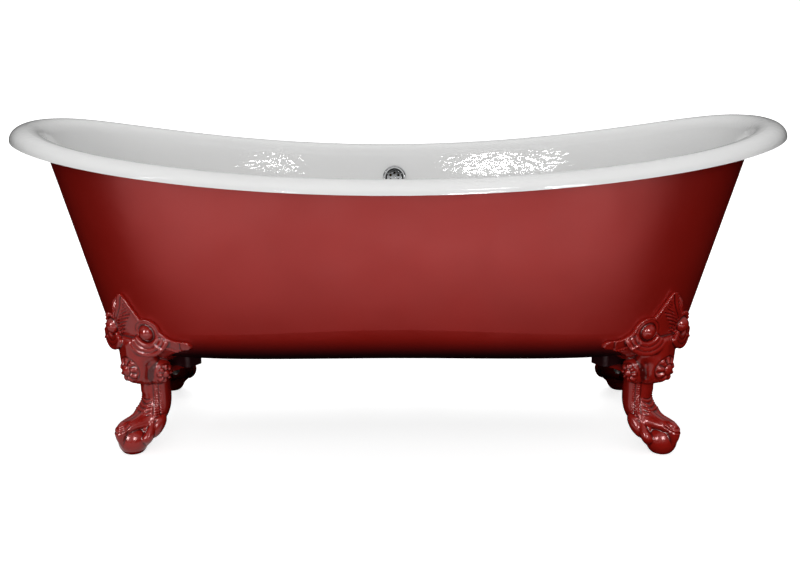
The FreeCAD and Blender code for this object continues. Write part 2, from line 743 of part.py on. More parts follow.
os.makedirs("parts", exist_ok=True)
for name, shape in nodes.items():
    shape.exportStep("parts/" + name + ".step")
    print(name, len(shape.Solids), shape.isValid(), round(shape.Volume))
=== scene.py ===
import math

import bmesh
import bpy
import numpy as np
from mathutils import Matrix, Quaternion, Vector


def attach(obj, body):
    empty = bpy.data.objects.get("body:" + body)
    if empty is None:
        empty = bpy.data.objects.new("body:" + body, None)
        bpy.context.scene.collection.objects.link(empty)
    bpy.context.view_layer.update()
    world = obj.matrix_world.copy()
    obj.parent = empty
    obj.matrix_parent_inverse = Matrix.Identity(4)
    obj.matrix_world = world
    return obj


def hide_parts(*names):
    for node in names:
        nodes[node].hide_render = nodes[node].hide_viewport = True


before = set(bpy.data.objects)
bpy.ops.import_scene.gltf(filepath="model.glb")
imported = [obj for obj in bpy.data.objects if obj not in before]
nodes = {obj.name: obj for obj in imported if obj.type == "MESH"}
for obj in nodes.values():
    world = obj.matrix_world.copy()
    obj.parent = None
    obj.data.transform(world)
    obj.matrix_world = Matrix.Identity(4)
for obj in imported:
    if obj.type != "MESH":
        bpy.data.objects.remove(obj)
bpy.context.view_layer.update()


# The tub is one grey iron casting with lugs under its floor for the feet. Outside it is filled, rubbed
# down and painted a deep red, which dries to a soft sheen with the faint ripple of brushed paint.
# Towards the floor the red is painted darker into a dark primer colour, as painted shade under the tub.
def shade(name, colour, roughness, metallic=0.0):
    """New finish: its material, node tree and shader, with the values that are the same all over."""
    finish = bpy.data.materials.new(name)
    finish.use_nodes = True
    shader = finish.node_tree.nodes["Principled BSDF"]
    shader.inputs["Base Color"].default_value = (*colour, 1.0)
    shader.inputs["Roughness"].default_value = roughness
    shader.inputs["Metallic"].default_value = metallic
    return finish, finish.node_tree, shader


def dress(finish, *names):
    """Puts a finish on CAD nodes that keep their own shape."""
    for name in names:
        nodes[name].data.materials.clear()
        nodes[name].data.materials.append(finish)


def join(tree, *pairs):
    """Links sockets, each pair from an output to an input."""
    for source, target in pairs:
        tree.links.new(source, target)


def ramp(tree, source, low, high, start=0.0, end=1.0):
    """Node whose value goes from start to end, numbers or sockets, as the source goes from low to high."""
    node = tree.nodes.new("ShaderNodeMapRange")
    for label, value in (("From Min", low), ("From Max", high), ("To Min", start), ("To Max", end)):
        if isinstance(value, float):
            node.inputs[label].default_value = value
        else:
            join(tree, (value, node.inputs[label]))
    join(tree, (source, node.inputs["Value"]))
    return node


def new_group(name, inputs, outputs):
    """Empty shader group with named inputs (and their first values) and named outputs."""
    group = bpy.data.node_groups.new(name, "ShaderNodeTree")
    for label, value in inputs.items():
        kind = "NodeSocketVector" if isinstance(value, tuple) else "NodeSocketFloat"
        socket = group.interface.new_socket(label, in_out="INPUT", socket_type=kind)
        socket.default_value = value
    for label, kind in outputs.items():
        group.interface.new_socket(label, in_out="OUTPUT", socket_type=kind)
    return group, group.nodes.new("NodeGroupInput"), group.nodes.new("NodeGroupOutput")


def place_group(tree, group, values):
    node = tree.nodes.new("ShaderNodeGroup")
    node.node_tree = group
    for label, value in values.items():
        node.inputs[label].default_value = value
    return node


# A surface ripple: broad waves and fine peel of a coat that flowed before it set.
ripple_start = {"Waves per metre": 20.0, "Peel per metre": 300.0, "Peel share": 0.3,
                "Stretch": (1.0, 1.0, 1.0)}
ripple, given, result = new_group("ripple", ripple_start, {"Height": "NodeSocketFloat"})
spot = ripple.nodes.new("ShaderNodeTexCoord")
drawn = ripple.nodes.new("ShaderNodeMapping")
waves = ripple.nodes.new("ShaderNodeTexNoise")
waves.inputs["Detail"].default_value = 2.0
peel = ripple.nodes.new("ShaderNodeTexNoise")
peel.inputs["Detail"].default_value = 1.0
blend = ripple.nodes.new("ShaderNodeMix")
join(ripple,
     (spot.outputs["Object"], drawn.inputs["Vector"]),
     (given.outputs["Stretch"], drawn.inputs["Scale"]),
     (drawn.outputs["Vector"], waves.inputs["Vector"]),
     (drawn.outputs["Vector"], peel.inputs["Vector"]),
     (given.outputs["Waves per metre"], waves.inputs["Scale"]),
     (given.outputs["Peel per metre"], peel.inputs["Scale"]),
     (given.outputs["Peel share"], blend.inputs["Factor"]),
     (waves.outputs["Fac"], blend.inputs["A"]),
     (peel.outputs["Fac"], blend.inputs["B"]),
     (blend.outputs["Result"], result.inputs["Height"]))

# A mottle: slow changes of tone and sheen from handling, dust and uneven coats.
mottle_start = {"Patches per metre": 9.0, "Lowest": 0.3, "Highest": 0.5}
mottle, given, result = new_group("mottle", mottle_start, {"Value": "NodeSocketFloat"})
spot = mottle.nodes.new("ShaderNodeTexCoord")
patches = mottle.nodes.new("ShaderNodeTexNoise")
patches.inputs["Detail"].default_value = 5.0
patches.inputs["Roughness"].default_value = 0.6
spread = ramp(mottle, patches.outputs["Fac"], low=0.3, high=0.7,
              start=given.outputs["Lowest"], end=given.outputs["Highest"])
join(mottle,
     (spot.outputs["Object"], patches.inputs["Vector"]),
     (given.outputs["Patches per metre"], patches.inputs["Scale"]),
     (spread.outputs["Result"], result.inputs["Value"]))


def add_ripple(tree, shader, height, waves, peel, peel_share, stretch=(1.0, 1.0, 1.0)):
    """Feeds a ripple into a shader's normal; its height is in metres, its waves and peel are per metre."""
    swell = place_group(tree, ripple, {"Waves per metre": waves, "Peel per metre": peel,
                                       "Peel share": peel_share, "Stretch": stretch})
    bump = tree.nodes.new("ShaderNodeBump")
    bump.inputs["Strength"].default_value = 1.0
    bump.inputs["Distance"].default_value = height
    join(tree,
         (swell.outputs["Height"], bump.inputs["Height"]),
         (bump.outputs["Normal"], shader.inputs["Normal"]))


def mottled(tree, lowest, highest, per_metre):
    """Value that wanders between two values, in so many patches per metre."""
    values = {"Lowest": lowest, "Highest": highest, "Patches per metre": per_metre}
    return place_group(tree, mottle, values).outputs["Value"]


def mix_colours(tree, share, first, second):
    """Colour between two, each a plain colour or the output of a node, by a share that varies."""
    mix = tree.nodes.new("ShaderNodeMix")
    mix.data_type = "RGBA"
    sockets = {socket.identifier: socket for socket in (*mix.inputs, *mix.outputs)}
    for label, colour in (("A_Color", first), ("B_Color", second)):
        if isinstance(colour, tuple):
            sockets[label].default_value = (*colour, 1.0)
        else:
            join(tree, (colour, sockets[label]))
    join(tree, (share, sockets["Factor_Float"]))
    return sockets["Result_Color"]


def two_tones(tree, first, second, per_metre):
    """Colour that wanders between two close tones."""
    return mix_colours(tree, mottled(tree, 0.0, 1.0, per_metre), first, second)


paint_red = (0.420, 0.0140, 0.0088)
paint_red_deep = (0.385, 0.0125, 0.0078)
painted_shade_primer = (0.030, 0.006, 0.008)
paint_lustre = 0.2
shade_darkest_height = 0.240
shade_starts_height = 0.300
red_paint, tree, shader = shade("red_paint", paint_red, roughness=0.36, metallic=paint_lustre)
# Painted shade: towards the floor the red darkens smoothly into the dark primer colour, standing for the
# shade under the tub.
spot = tree.nodes.new("ShaderNodeTexCoord")
level = tree.nodes.new("ShaderNodeSeparateXYZ")
underside_shade = ramp(tree, level.outputs["Z"], shade_darkest_height, shade_starts_height)
underside_shade.interpolation_type = "SMOOTHSTEP"
tones = two_tones(tree, paint_red, paint_red_deep, per_metre=6.0)
coat = mix_colours(tree, underside_shade.outputs["Result"], painted_shade_primer, tones)
join(tree,
     (spot.outputs["Object"], level.inputs["Vector"]),
     (coat, shader.inputs["Base Color"]),
     (mottled(tree, lowest=0.32, highest=0.40, per_metre=7.0), shader.inputs["Roughness"]))
add_ripple(tree, shader, height=0.0006, waves=14.0, peel=420.0, peel_share=0.06)
dress(red_paint, "tub_casting")


# The lining is white glass enamel, fused on in the kiln inside the tub and over the rolled rim.
# It is hard, very glossy and slightly wavy, so that lights break up into ragged streaks in it.
enamel_white = (0.90, 0.90, 0.895)
enamel_shadow = (0.88, 0.88, 0.876)
white_enamel, tree, shader = shade("white_enamel", enamel_white, roughness=0.05)
shader.inputs["IOR"].default_value = 1.55
join(tree,
     (two_tones(tree, enamel_white, enamel_shadow, per_metre=5.0), shader.inputs["Base Color"]),
     (mottled(tree, lowest=0.015, highest=0.035, per_metre=12.0), shader.inputs["Roughness"]))
add_ripple(tree, shader, height=0.0005, waves=30.0, peel=120.0, peel_share=0.5, stretch=(0.45, 1.0, 1.0))
dress(white_enamel, "enamel_lining")


# Each foot is a separate iron casting. Its pattern is carved as a leafed shield that lies on the tub, a knee
# with rosettes, and a scaled leg whose claw grips a ball. It is painted with the tub's red, with painted
# shade in its hollows and on its back under the tub to bring the carving out.
millimetre = 0.001
foot_corner = Vector((-0.609842, -0.201047, 0.0))
foot_heading = math.radians(234.0)
carving_step = 0.0017
merge_distance = 0.00002
smoothing_passes = 6
foot_frame = Matrix.Translation(foot_corner) @ Matrix.Rotation(foot_heading, 4, "Z")
foot_frame = foot_frame @ Matrix.Scale(millimetre, 4)


def add_mass(pattern, middle, radii, tilt=0.0):
    """Adds a rounded mass to the pattern, given in the foot's own millimetres: out, across and up."""
    turn = Matrix.Rotation(math.radians(tilt), 4, "Y")
    spot = foot_frame @ Matrix.Translation(middle) @ turn @ Matrix.Diagonal((*radii, 1.0))
    bmesh.ops.create_uvsphere(pattern, u_segments=40, v_segments=24, radius=1.0, matrix=spot)


# The blank: the plain foot with a fuller knee, leaf, web and toes, in one skin of an even grain.
cast = bmesh.new()
cast.from_mesh(nodes["foot_front_left"].data)
bmesh.ops.remove_doubles(cast, verts=cast.verts, dist=merge_distance)
add_mass(cast, middle=(14.0, 1.0, 206.0), radii=(29.0, 33.0, 38.0))
add_mass(cast, middle=(33.5, -13.0, 340.0), radii=(6.5, 26.0, 40.0), tilt=11.0)
for hand in (-1.0, 1.0):
    add_mass(cast, middle=(4.0, 13.0 * hand, 52.0), radii=(20.0, 20.0, 15.0))
    add_mass(cast, middle=(-16.0, 36.0 * hand, 58.0), radii=(34.0, 14.0, 17.0), tilt=42.0)
plain_foot = bpy.data.meshes.new("plain_foot")
cast.to_mesh(plain_foot)
cast.free()
blank = bpy.data.objects.new("plain_foot", plain_foot)
bpy.context.scene.collection.objects.link(blank)
remesh = blank.modifiers.new("even_grain", "REMESH")
remesh.mode = "VOXEL"
remesh.voxel_size = carving_step
bpy.context.view_layer.update()
carved = bpy.data.meshes.new_from_object(blank.evaluated_get(bpy.context.evaluated_depsgraph_get()))
bpy.data.objects.remove(blank)
bpy.data.meshes.remove(plain_foot)
cast = bmesh.new()
cast.from_mesh(carved)
for _ in range(smoothing_passes):
    bmesh.ops.smooth_vert(cast, verts=cast.verts, factor=0.5,
                          use_axis_x=True, use_axis_y=True, use_axis_z=True)
cast.to_mesh(carved)
cast.free()

# The carving is worked in the foot's own millimetres: out from the tub's corner, across, and height.
count = len(carved.vertices)
place = np.empty(count * 3)
carved.vertices.foreach_get("co", place)
place = place.reshape(-1, 3)


def point_normals():
    normal = np.empty(count * 3)
    carved.vertex_normals.foreach_get("vector", normal)
    return normal.reshape(-1, 3)


normal = point_normals()
out_way = np.array((math.cos(foot_heading), math.sin(foot_heading)))
across_way = np.array((-out_way[1], out_way[0]))
plan = (place[:, :2] - np.array(foot_corner[:2])) / millimetre
out = plan @ out_way
across = plan @ across_way
side = np.abs(across)
height = place[:, 2] / millimetre
facing = normal[:, :2] @ out_way


def rise(value, low, high):
    """Smooth step from 0 to 1."""
    t = np.clip((value - low) / (high - low), 0.0, 1.0)
    return t * t * (3.0 - 2.0 * t)


def fall(value, low, high):
    return 1.0 - rise(value, low, high)


def within(value, low, high, soft):
    return rise(value, low - soft, low + soft) * fall(value, high - soft, high + soft)


def ridge(gap, width, tall):
    """Rounded ridge along the line where the gap is nil."""
    return tall * np.exp(-(gap / width) ** 2)


def groove(gap, width, deep):
    return -ridge(gap, width, deep)


def ripples(value, pitch, tall):
    return tall * np.cos(2.0 * np.pi * value / pitch)


# Carving of the leaf: a swaying midrib between two edges, veins, a fold across them, and a hatched border.
front = rise(facing, 0.05, 0.4)
boss_side = 56.0
boss_height = 302.0
boss_gap = np.hypot(side - boss_side, height - boss_height)
leaf = front * within(height, low=292.0, high=386.0, soft=5.0) * rise(boss_gap, 24.0, 28.0)
midrib_across = -10.7 - 0.58 * (355.0 - height) + 3.0 * np.sin((height - 330.0) / 12.0)
from_midrib = across - midrib_across
midrib_edge = 6.0
relief = leaf * groove(from_midrib, width=2.6, deep=3.4)
for edge in (-midrib_edge, midrib_edge):
    relief += leaf * ridge(from_midrib - edge, width=2.4, tall=1.6)
veins = leaf * within(from_midrib, low=10.0, high=36.0, soft=2.5) * fall(height, 344.0, 352.0)
veins = veins * fall(across, 20.0, 28.0)
relief += veins * ripples(height - 1.1 * from_midrib + 0.012 * from_midrib ** 2, pitch=10.5, tall=2.0)
fold = from_midrib - 22.0 + 0.3 * (height - 320.0)
relief += leaf * fall(height, 340.0, 350.0) * groove(fold, width=1.8, deep=2.0)
far_side = leaf * fall(from_midrib, -12.0, -8.0)
relief += far_side * ripples(height + 0.9 * from_midrib, pitch=9.0, tall=1.6)
from_edge = across - (6.0 + 0.57 * (390.0 - height))
border = leaf * fall(from_edge, -5.0, -2.0) * rise(height, 344.0, 350.0) * rise(from_midrib, 9.0, 12.0)
relief += border * ripples(0.49 * across - 0.87 * height, pitch=5.4, tall=1.3)
edging = leaf * within(height, low=330.0, high=384.0, soft=4.0)
relief += edging * groove(from_edge + 4.0, width=1.6, deep=0.8)

# Carving of the bosses: a sunk ring round each, and a finer one over its shoulder.
ring_radius = 20.5
shoulder_radius = 28.5
relief += front * groove(boss_gap - ring_radius, width=2.0, deep=2.6)
over_boss = front * rise(height - boss_height, -6.0, 4.0)
relief += over_boss * groove(boss_gap - shoulder_radius, width=1.8, deep=1.2)

# Carving of the wing: a sunk panel with a beaded lower edge, and the curl at its end.
bead_count = 8
bead_pitch = 5.2
first_bead = 81.0
first_bead_height = 271.0
bead_slope = 0.41
below_top = 302.0 - 0.42 * (side - 89.0) - height
over_beads = height - first_bead_height + bead_slope * (side - first_bead)
panel = within(side - 0.6 * (height - 290.0), low=82.0, high=200.0, soft=1.5) * fall(side, 123.0, 126.0)
panel_depth = 1.0
relief -= panel_depth * front * panel * rise(below_top, 4.5, 7.0) * rise(over_beads, 3.5, 6.0)
curl = side - 128.5 - 0.3 * (height - 274.0)
relief += front * within(height, low=250.0, high=296.0, soft=3.0) * groove(curl, width=2.4, deep=4.0)
for bead in range(bead_count):
    bead_side = first_bead + bead_pitch * bead
    bead_height = first_bead_height - bead_slope * (bead_side - first_bead)
    relief += front * ridge(np.hypot(side - bead_side, height - bead_height), width=2.1, tall=2.6)

# Carving of the knee: a rosette of petals in front, a smaller one on each side, and a valley between.
knee_turn = np.arctan2(side, out + 34.0)
valley = within(height, low=172.0, high=226.0, soft=12.0)
relief += valley * groove(knee_turn - math.radians(50.0), width=math.radians(13.0), deep=9.0)


def rosette(sideways, upwards, radius, petals):
    """Relief of a rosette: a middle bud, a ring groove, a round of petals and a groove outside them."""
    gap = np.hypot(sideways, upwards)
    turn = np.arctan2(sideways, upwards)
    bud = ridge(gap, width=0.28 * radius, tall=3.2) + groove(gap - 0.46 * radius, width=2.0, deep=2.4)
    petal_ring = within(gap, low=0.52 * radius, high=0.95 * radius, soft=1.5)
    return bud + 2.2 * petal_ring * np.cos(petals * turn) + groove(gap - 1.04 * radius, width=2.4, deep=2.2)


knee = rise(out, 2.0, 14.0) * within(height, low=160.0, high=250.0, soft=4.0)
relief += knee * rosette(across, height - 205.0, radius=31.0, petals=9)
lobe = rise(side, 30.0, 38.0) * fall(out, -4.0, 4.0) * within(height, low=158.0, high=228.0, soft=4.0)
relief += lobe * rosette(out + 30.0, height - 190.0, radius=24.0, petals=8)

# Carving of the leg: a strip of plates on each side of the shin, wrinkles between them, and a calf behind.
leg_turn = np.arctan2(across, out + 50.0)
leg_radius = 36.0
plate_pitch = 5.6
shin = within(height, low=84.0, high=158.0, soft=5.0) * fall(out, 0.0, 8.0)
strip = (np.abs(leg_turn) - math.radians(47.0)) * leg_radius
strip_edge = 6.5
relief += shin * (0.5 + ripples(height, plate_pitch, tall=1.1)) * fall(np.abs(strip), 3.6, 5.0)
for edge in (-strip_edge, strip_edge):
    relief += shin * groove(strip - edge, width=1.5, deep=1.3)
relief += shin * within(strip, low=8.0, high=13.0, soft=1.5) * ripples(height + 2.0, plate_pitch, tall=0.9)
inner = shin * fall(np.abs(leg_turn), math.radians(24.0), math.radians(32.0))
wrinkle = height + 12.0 * np.cos(2.0 * leg_turn)
relief += inner * fall(height, 116.0, 128.0) * ripples(wrinkle, pitch=9.0, tall=1.3)
relief += inner * ridge(height - 138.0, width=11.0, tall=2.2)
calf = ridge(np.abs(leg_turn) - math.radians(78.0), width=0.28, tall=1.8)
relief += shin * calf * ridge(height - 124.0, width=18.0, tall=1.0)

# Carving of the claw: two sinews on the instep, a crest where each side toe starts, and creased toes.
instep = within(height, low=62.0, high=112.0, soft=5.0) * rise(out, -25.0, -10.0) * fall(out, 50.0, 58.0)
relief += instep * (ridge(side - 14.0, width=3.0, tall=1.8) + groove(across, width=5.0, deep=1.8))
crest = np.abs(side - 33.0 + 0.2 * (out + 16.0)) + 0.8 * np.abs(height - 88.0 + 0.86 * (out + 16.0))
relief += within(out, low=-18.0, high=18.0, soft=4.0) * ridge(crest, width=6.0, tall=2.2)
toes = within(height, low=56.0, high=86.0, soft=3.0) * rise(out, 46.0, 52.0)
relief += toes * ripples(height + 0.4 * out, pitch=8.0, tall=1.1)

place += normal * (relief * millimetre)[:, None]
carved.vertices.foreach_set("co", place.ravel())
carved.update()

# How hollow the carving is at each point, for painted shade in the hollows, and the back under the tub,
# painted dark as shade.
ends = np.empty(len(carved.edges) * 2, dtype=np.int64)
carved.edges.foreach_get("vertices", ends)
ends = ends.reshape(-1, 2)
normal = point_normals()
neighbours = np.bincount(ends.ravel(), minlength=count)


def neighbour_mean(values):
    total = np.bincount(ends[:, 0], weights=values[ends[:, 1]], minlength=count)
    total += np.bincount(ends[:, 1], weights=values[ends[:, 0]], minlength=count)
    return total / np.maximum(neighbours, 1)


hollow_reach = 6
full_hollow = 0.5 * millimetre
spread_place = place.copy()
for _ in range(hollow_reach):
    spread_place = np.stack([neighbour_mean(spread_place[:, axis]) for axis in range(3)], axis=1)
hollow = np.sum((spread_place - place) * normal, axis=1) / full_hollow
hollow = neighbour_mean(np.clip(hollow, -1.0, 1.0))
carved.attributes.new("hollow", "FLOAT", "POINT").data.foreach_set("value", hollow)
# Painted shade: the foot's back under the tub, where only shade falls, is marked for the dark primer colour.
tongue_shade = rise(-out, 55.0, 75.0) * rise(height, 176.0, 196.0) * (1.0 - front * rise(side, 88.0, 96.0))
carved.attributes.new("tongue_shade", "FLOAT", "POINT").data.foreach_set("value", tongue_shade)

foot_lustre = 0.03
hollow_shade_colour = (0.055, 0.003, 0.003)
foot_paint, tree, shader = shade("foot_paint", paint_red, roughness=0.25, metallic=foot_lustre)
depth = tree.nodes.new("ShaderNodeAttribute")
depth.attribute_name = "hollow"
tongue_shade_node = tree.nodes.new("ShaderNodeAttribute")
tongue_shade_node.attribute_name = "tongue_shade"
# Painted shade: the hollows darken towards a near-black red, and the back under the tub takes the dark
# primer colour.
hollow_shade = ramp(tree, depth.outputs["Fac"], low=0.05, high=0.8, end=0.82)
coat = two_tones(tree, paint_red, paint_red_deep, per_metre=30.0)
hollow_shaded_coat = mix_colours(tree, hollow_shade.outputs["Result"], coat, hollow_shade_colour)
join(tree,
     (mix_colours(tree, tongue_shade_node.outputs["Fac"], hollow_shaded_coat, painted_shade_primer), shader.inputs["Base Color"]),
     (mottled(tree, lowest=0.16, highest=0.26, per_metre=40.0), shader.inputs["Roughness"]))
add_ripple(tree, shader, height=0.0003, waves=90.0, peel=600.0, peel_share=0.2)

# The other three feet are cast from the mirrored pattern.
corners = {"front_left": (1, 1), "front_right": (-1, 1), "rear_left": (1, -1), "rear_right": (-1, -1)}
claw_feet = []
for corner, (flip_x, flip_y) in corners.items():
    mould = bmesh.new()
    mould.from_mesh(carved)
    bmesh.ops.transform(mould, matrix=Matrix.Diagonal((flip_x, flip_y, 1, 1)), verts=mould.verts)
    bmesh.ops.recalc_face_normals(mould, faces=mould.faces)
    for face in mould.faces:
        face.smooth = True
    mesh = bpy.data.meshes.new("claw_foot_" + corner)
    mould.to_mesh(mesh)
    mould.free()
    mesh.materials.append(foot_paint)
    foot = bpy.data.objects.new("claw_foot_" + corner, mesh)
    bpy.context.scene.collection.objects.link(foot)
    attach(foot, "bath")
    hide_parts("foot_" + corner)
    claw_feet.append(foot)


# Each foot hangs on a zinc plated steel stud in the tub's lug, with a washer and a hexagon nut
# tightened up under the tongue of the foot. The plating has dulled in patches.
def worn_metal(name, bright, dull, tone_patches, smooth, rough, sheen_patches):
    """Metal that wanders between a bright and a dull tone, and between a smoother and a rougher sheen."""
    finish, tree, shader = shade(name, bright, roughness=(smooth + rough) / 2, metallic=1.0)
    join(tree,
         (two_tones(tree, bright, dull, tone_patches), shader.inputs["Base Color"]),
         (mottled(tree, smooth, rough, sheen_patches), shader.inputs["Roughness"]))
    return finish, tree, shader


zinc_bright = (0.52, 0.52, 0.50)
zinc_dull = (0.40, 0.39, 0.36)
zinc_steel, tree, shader = worn_metal("zinc_steel", zinc_bright, zinc_dull, tone_patches=160.0,
                                      smooth=0.28, rough=0.5, sheen_patches=220.0)
add_ripple(tree, shader, height=0.0002, waves=500.0, peel=2500.0, peel_share=0.5)
dress(zinc_steel, "foot_studs", "foot_washers", "foot_nuts")


# The overflow rose is turned brass with polished chrome plating: a rounded ring, a tail that goes through
# the wall, and a drilled disc set in the ring on three arms. One screw in the middle holds the disc.
rose_middle = Vector((0.0, 0.306380, 0.584698))
rose_lean = math.radians(7.227)
rose_frame = Matrix.Translation(rose_middle) @ Matrix.Rotation(math.pi / 2 - rose_lean, 4, "X")
rose_frame = rose_frame @ Matrix.Scale(millimetre, 4)
ring_outline = ((32.0, -4.0), (32.0, -2.4), (31.4, -1.1), (30.2, -0.3), (28.6, 0.0), (26.4, -0.2),
                (25.0, -0.8), (24.2, -1.9), (24.0, -4.0))
tail_outline = ((18.0, -27.5), (18.0, -3.0), (16.0, -3.0), (16.0, -27.5))
disc_radius = 20.2
disc_thickness = 2.4
disc_edge = 0.3
drain_holes = 6
drain_hole_radius = 3.6
drain_ring_radius = 12.4
arm_count = 3
arm_size = (8.0, 4.0, 1.2)
arm_middle = (20.5, 0.0, -3.4)
seam_gap = 0.01
rank_step = 10000


def by_points(item):
    """Rank of an edge or a face by its first and last point, because a spin's own order varies."""
    numbers = [point.index for point in item.verts]
    return rank_step * min(numbers) + max(numbers)


def lathe_turned(outline, steps):
    """Closed outline of radius and height, spun once round the upright axis."""
    lathe = bmesh.new()
    points = [lathe.verts.new((radius, 0.0, level)) for radius, level in outline]
    rim_edges = [lathe.edges.new((a, b)) for a, b in zip(points, points[1:] + points[:1])]
    bmesh.ops.spin(lathe, geom=points + rim_edges, axis=(0.0, 0.0, 1.0), cent=(0.0, 0.0, 0.0),
                   angle=2 * math.pi, steps=steps, use_merge=True)
    bmesh.ops.remove_doubles(lathe, verts=lathe.verts, dist=seam_gap)
    bmesh.ops.recalc_face_normals(lathe, faces=lathe.faces)
    lathe.verts.index_update()
    for items in (lathe.edges, lathe.faces):
        items.sort(key=by_points)
    mesh = bpy.data.meshes.new("turned")
    lathe.to_mesh(mesh)
    lathe.free()
    return mesh


plate = bpy.data.curves.new("drilled_disc", "CURVE")
plate.dimensions = "2D"
plate.fill_mode = "BOTH"
plate.extrude = disc_thickness / 2 - disc_edge
plate.bevel_depth = disc_edge
plate.bevel_resolution = 2
plate.resolution_u = 12
rounds = [(0.0, 0.0, disc_radius - disc_edge)]
for hole in range(drain_holes):
    turn = 2 * math.pi * (hole + 0.5) / drain_holes
    hole_middle = (drain_ring_radius * math.cos(turn), drain_ring_radius * math.sin(turn))
    rounds.append((*hole_middle, drain_hole_radius + disc_edge))
for x, y, radius in rounds:
    edge = plate.splines.new("BEZIER")
    edge.bezier_points.add(3)
    edge.use_cyclic_u = True
    for quarter, knot in enumerate(edge.bezier_points):
        turn = quarter * math.pi / 2
        knot.co = (x + radius * math.cos(turn), y + radius * math.sin(turn), 0.0)
        knot.handle_left_type = "AUTO"
        knot.handle_right_type = "AUTO"
stamp = bpy.data.objects.new("drilled_disc", plate)
drilled = bpy.data.meshes.new_from_object(stamp)
bpy.data.objects.remove(stamp)
drilled.transform(Matrix.Translation((0.0, 0.0, -disc_thickness / 2)))

rose = bmesh.new()
for piece in (lathe_turned(ring_outline, steps=96), lathe_turned(tail_outline, steps=64), drilled):
    rose.from_mesh(piece)
for arm in range(arm_count):
    arm_turn = Matrix.Rotation(2 * math.pi * (arm + 0.25) / arm_count, 4, "Z")
    arm_frame = arm_turn @ Matrix.Translation(arm_middle) @ Matrix.Diagonal((*arm_size, 1.0))
    bmesh.ops.create_cube(rose, size=1.0, matrix=arm_frame)
bmesh.ops.transform(rose, matrix=rose_frame, verts=rose.verts)
for face in rose.faces:
    face.smooth = True
mesh = bpy.data.meshes.new("overflow_ring_and_disc")
rose.to_mesh(mesh)
rose.free()
mesh.set_sharp_from_angle(angle=math.radians(40.0))
chrome_plate = (0.70, 0.71, 0.72)
chrome, tree, shader = shade("chrome", chrome_plate, roughness=0.08, metallic=1.0)
join(tree, (mottled(tree, lowest=0.05, highest=0.14, per_metre=150.0), shader.inputs["Roughness"]))
mesh.materials.append(chrome)
rose_piece = bpy.data.objects.new("overflow_ring_and_disc", mesh)
bpy.context.scene.collection.objects.link(rose_piece)
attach(rose_piece, "bath")
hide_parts("overflow_rose")
dress(chrome, "overflow_screw")


# Behind the wall a cast brass elbow, coloured very dark as painted shade, takes the water into a chromed
# pipe. The pipe goes down to the brass tee under the waste, and is held at both ends by brass ring nuts.
brass_bright = (0.40, 0.28, 0.11)
brass_dull = (0.28, 0.19, 0.075)
# Painted shade: the elbow's brass is very dark so that the overflow reads as shaded through the disc's
# holes.
elbow_shade_brass = (0.10, 0.07, 0.03)
elbow_shade_brass_deep = (0.055, 0.040, 0.020)
brass, tree, shader = worn_metal("brass", brass_bright, brass_dull, tone_patches=60.0,
                                 smooth=0.22, rough=0.42, sheen_patches=90.0)
add_ripple(tree, shader, height=0.0002, waves=260.0, peel=1500.0, peel_share=0.5)
dark_brass, tree, shader = worn_metal("dark_brass", elbow_shade_brass, elbow_shade_brass_deep, tone_patches=60.0,
                                      smooth=0.4, rough=0.65, sheen_patches=90.0)
add_ripple(tree, shader, height=0.0003, waves=260.0, peel=1500.0, peel_share=0.5)
dress(dark_brass, "overflow_elbow")
dress(chrome, "overflow_pipe")
dress(brass, "overflow_pipe_nuts", "waste_tee")


# The seals are washers of black moulded rubber. They are pressed between metal and enamel on both sides of
# the wall and the floor, and one sits under the plug's cap.
rubber_black = (0.018, 0.018, 0.018)
rubber, tree, shader = shade("rubber", rubber_black, roughness=0.7)
join(tree, (mottled(tree, lowest=0.6, highest=0.85, per_metre=200.0), shader.inputs["Roughness"]))
add_ripple(tree, shader, height=0.0002, waves=400.0, peel=2500.0, peel_share=0.6)
dress(rubber, "overflow_inner_seal", "overflow_outer_seal")
dress(rubber, "waste_flange_seal", "waste_under_seal", "plug_seal")


# The waste in the floor is a chromed flange, screwed down into the tee. In it a brass cartridge holds the
# stem of a chromed domed plug, which clicks up and down.
dress(chrome, "waste_flange", "plug_cap")
dress(brass, "plug_cartridge", "plug_stem")


# The bath stands in a plain white studio: a pale floor that is white all round, a dim white room above,
# broad soft lights before and behind the bath, and white cards that give its gloss something to show.
bpy.context.scene.view_settings.view_transform = "Standard"
floor_half = 14.0
floor_tone = (0.8, 0.8, 0.8)
white = (1.0, 1.0, 1.0, 1.0)
sheet = bmesh.new()
bmesh.ops.create_grid(sheet, x_segments=1, y_segments=1, size=floor_half)
mesh = bpy.data.meshes.new("floor")
sheet.to_mesh(mesh)
sheet.free()
floor = bpy.data.objects.new("floor", mesh)
bpy.context.scene.collection.objects.link(floor)
pale_floor, tree, shader = shade("pale_floor", floor_tone, roughness=0.9)
shader.inputs["Specular IOR Level"].default_value = 0.0
shader.inputs["Emission Color"].default_value = white
path = tree.nodes.new("ShaderNodeLightPath")
spot = tree.nodes.new("ShaderNodeTexCoord")
distance = tree.nodes.new("ShaderNodeVectorMath")
distance.operation = "LENGTH"
whiten = ramp(tree, distance.outputs["Value"], low=1.0, high=2.6, start=0.74, end=1.05)
glow = tree.nodes.new("ShaderNodeMath")
glow.operation = "MULTIPLY"
seen, strength = glow.inputs[:2]
join(tree,
     (spot.outputs["Object"], distance.inputs["Vector"]),
     (path.outputs["Is Camera Ray"], seen),
     (whiten.outputs["Result"], strength),
     (glow.outputs["Value"], shader.inputs["Emission Strength"]))
floor.data.materials.append(pale_floor)
floor.visible_diffuse = False
floor.visible_glossy = False

